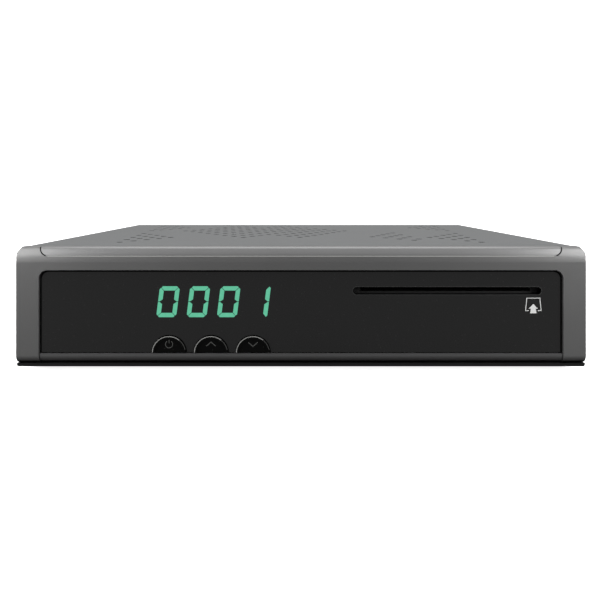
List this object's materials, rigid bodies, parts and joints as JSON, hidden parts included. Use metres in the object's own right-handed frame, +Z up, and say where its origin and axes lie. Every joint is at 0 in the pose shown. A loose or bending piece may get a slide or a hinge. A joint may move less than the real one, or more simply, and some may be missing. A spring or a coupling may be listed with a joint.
{
  "type": "satellite tv receiver",
  "caption": "Low set-top receiver: folded steel cabinet with vent holes, moulded front with glossy panel, lit digits, card slot, half-disc push buttons and rear sockets.",
  "frame": {"origin": "bottom centre of the bounding box, on the ground under the feet", "axes": "+X to the right seen from the front, +Y to the back, +Z up; the front panel faces -Y"},
  "size_m": [0.182, 0.14, 0.0404],
  "materials": {
    "bezel_grey": "fine satin moulded grey",
    "trim_grey": "smooth satin silver grey",
    "panel_black": "glossy smoked black",
    "button_black": "glossy black with a pale printed rim",
    "cover_paint": "satin grey powder coat",
    "zinc_sheet": "zinc plated sheet",
    "screw_steel": "zinc plated",
    "black_screw": "black oxide",
    "board_green": "solder mask over glass fibre",
    "black_part": "black moulded plastic",
    "display_face": "dark face with pale segments",
    "eye_smoke": "dark infrared filter",
    "ribbon_white": "white flat cable",
    "socket_cream": "cream moulded plastic",
    "brass_hex": "plain turned brass",
    "sink_alu": "plain extruded",
    "choke": "ferrite core",
    "can_sleeve": "dark sleeve with bare top",
    "tin_plate": "bright tin plate",
    "nickel": "nickel plated",
    "insulator_white": "white insulator",
    "gold_contact": "gold flashed",
    "rubber_black": "matte black rubber"
  },
  "bodies": {
    "cabinet": {"bezel_frame": "bezel_grey", "top_trim_strip": "trim_grey", "front_panel": "panel_black", "lower_trim_bar": "trim_grey", "switch_bases": "black_part", "display_board": "board_green", "digit_display": "display_face", "remote_eye": "eye_smoke", "display_screws": "screw_steel", "ribbon_sockets": "socket_cream", "ribbon_cable": "ribbon_white", "main_board": "board_green", "standoffs": "brass_hex", "board_screws": "screw_steel", "processor": "black_part", "heat_sink": "sink_alu", "memory_chips": "black_part", "capacitors": "can_sleeve", "power_coils": "choke", "tuner_can": "tin_plate", "tuner_lid": "tin_plate", "aerial_barrels": "nickel", "aerial_insulators": "insulator_white", "aerial_washers": "nickel", "aerial_nuts": "nickel", "card_reader_frame": "black_part", "card_contacts": "gold_contact", "card_reader_lid": "tin_plate", "card_reader_bracket": "zinc_sheet", "bracket_screws": "screw_steel", "sound_socket": "black_part", "optical_socket": "black_part", "optical_emitter": "eye_smoke", "video_shell": "nickel", "video_tongue": "black_part", "usb_shell": "nickel", "usb_tongue": "black_part", "network_socket": "black_part", "network_contacts": "gold_contact", "power_socket": "black_part", "power_pin": "nickel", "chassis_base": "zinc_sheet", "rear_panel": "zinc_sheet", "rear_panel_screws": "screw_steel", "top_cover": "cover_paint", "cover_screws": "black_screw", "bezel_screws": "screw_steel", "rubber_feet": "rubber_black"},
    "power": {"power_button": "button_black", "power_plunger": "black_part"},
    "channel_up": {"channel_up_button": "button_black", "channel_up_plunger": "black_part"},
    "channel_down": {"channel_down_button": "button_black", "channel_down_plunger": "black_part"},
    "shutter": {"optical_shutter": "black_part"}
  },
  "joints": [
    {"name": "power_push", "type": "slide", "parent": "cabinet", "child": "power", "axis": [0, 1, 0], "range_m": [0, 0.0005], "stiffness_N_per_m": 1600},
    {"name": "channel_up_push", "type": "slide", "parent": "cabinet", "child": "channel_up", "axis": [0, 1, 0], "range_m": [0, 0.0005], "stiffness_N_per_m": 1600},
    {"name": "channel_down_push", "type": "slide", "parent": "cabinet", "child": "channel_down", "axis": [0, 1, 0], "range_m": [0, 0.0005], "stiffness_N_per_m": 1600},
    {"name": "shutter_hinge", "type": "hinge", "parent": "cabinet", "child": "shutter", "pos_m": [-0.01, 0.0542, 0.0183], "axis": [-1, 0, 0], "range_deg": [0, 85], "stiffness_Nm_per_rad": 0.0005}
  ]
}
